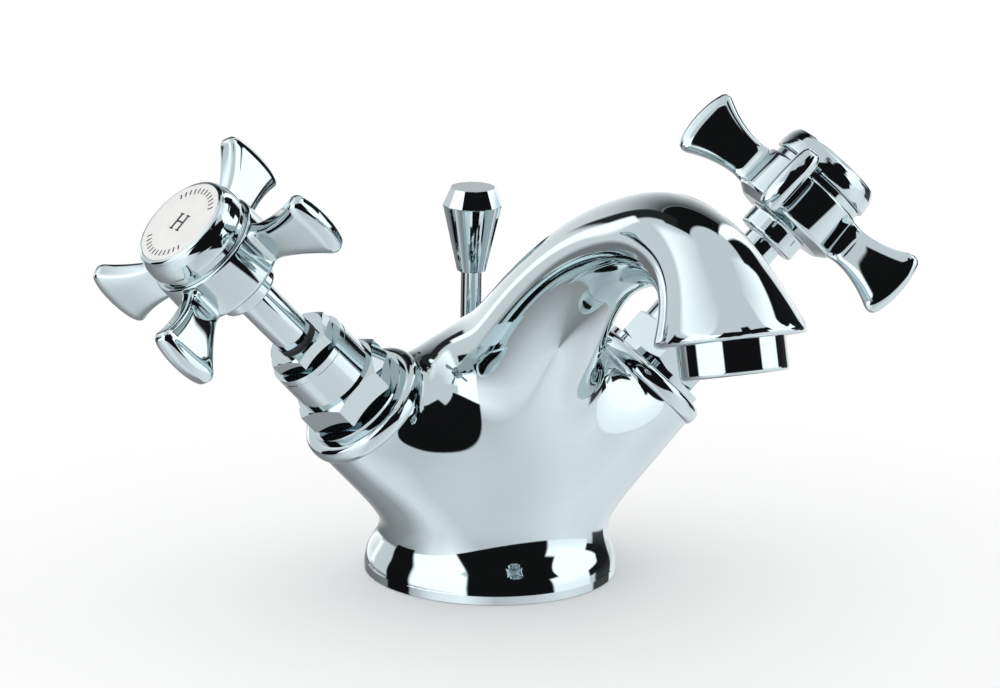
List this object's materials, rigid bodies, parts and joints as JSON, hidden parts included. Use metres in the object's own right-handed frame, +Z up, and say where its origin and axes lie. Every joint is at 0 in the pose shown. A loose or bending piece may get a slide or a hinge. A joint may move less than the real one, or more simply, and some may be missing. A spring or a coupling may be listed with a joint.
{
  "type": "basin mixer",
  "caption": "Two-handle deck-mounted basin mixer with arched spout, tilted crosshead handles, aerator and a pop-up waste lift rod.",
  "frame": {"origin": "middle of the base on the deck", "axes": "+Z up, spout towards -Y, hot valve at -X and cold valve at +X"},
  "size_m": [0.194, 0.1652, 0.1124],
  "materials": {
    "chrome_body": "polished plating",
    "chrome_trim": "polished plating",
    "chrome_handle": "polished plating",
    "brass": "turned",
    "rubber": "matt",
    "plastic": "moulded",
    "ceramic": "lapped ceramic",
    "index_white": "glazed"
  },
  "bodies": {
    "mixer": {"body_casting": "chrome_body", "base_seal": "rubber", "rod_bush": "plastic", "aerator_housing": "chrome_trim", "aerator_insert": "plastic", "aerator_washer": "rubber", "hot_valve_shell": "chrome_trim", "hot_seat_seal": "rubber", "hot_fixed_disc": "ceramic", "hot_thrust_ring": "plastic", "hot_gland_nut": "chrome_trim", "hot_wiper_ring": "rubber", "cold_valve_shell": "chrome_trim", "cold_seat_seal": "rubber", "cold_fixed_disc": "ceramic", "cold_thrust_ring": "plastic", "cold_gland_nut": "chrome_trim", "cold_wiper_ring": "rubber"},
    "hot_handle": {"hot_turning_disc": "ceramic", "hot_disc_driver": "plastic", "hot_spindle": "chrome_trim", "hot_spindle_seals": "rubber", "hot_crosshead": "chrome_handle", "hot_spline_bush": "plastic", "hot_handle_screw": "brass", "hot_handle_cap": "chrome_handle", "hot_index_disc": "index_white"},
    "cold_handle": {"cold_turning_disc": "ceramic", "cold_disc_driver": "plastic", "cold_spindle": "chrome_trim", "cold_spindle_seals": "rubber", "cold_crosshead": "chrome_handle", "cold_spline_bush": "plastic", "cold_handle_screw": "brass", "cold_handle_cap": "chrome_handle", "cold_index_disc": "index_white"},
    "pop_up_rod": {"lift_rod": "chrome_trim", "lift_knob": "chrome_trim"}
  },
  "joints": [
    {"name": "hot_turn", "type": "hinge", "parent": "mixer", "child": "hot_handle", "pos_m": [0, -0.0037, 0.0081], "axis": [-0.6943, -0.0637, 0.7169], "range_deg": [0, 90]},
    {"name": "cold_turn", "type": "hinge", "parent": "mixer", "child": "cold_handle", "pos_m": [0, -0.0037, 0.0081], "axis": [0.6943, -0.0637, 0.7169], "range_deg": [-90, 0]},
    {"name": "rod_lift", "type": "slide", "parent": "mixer", "child": "pop_up_rod", "axis": [0, 0, 1], "range_m": [-0.012, 0.012]}
  ]
}
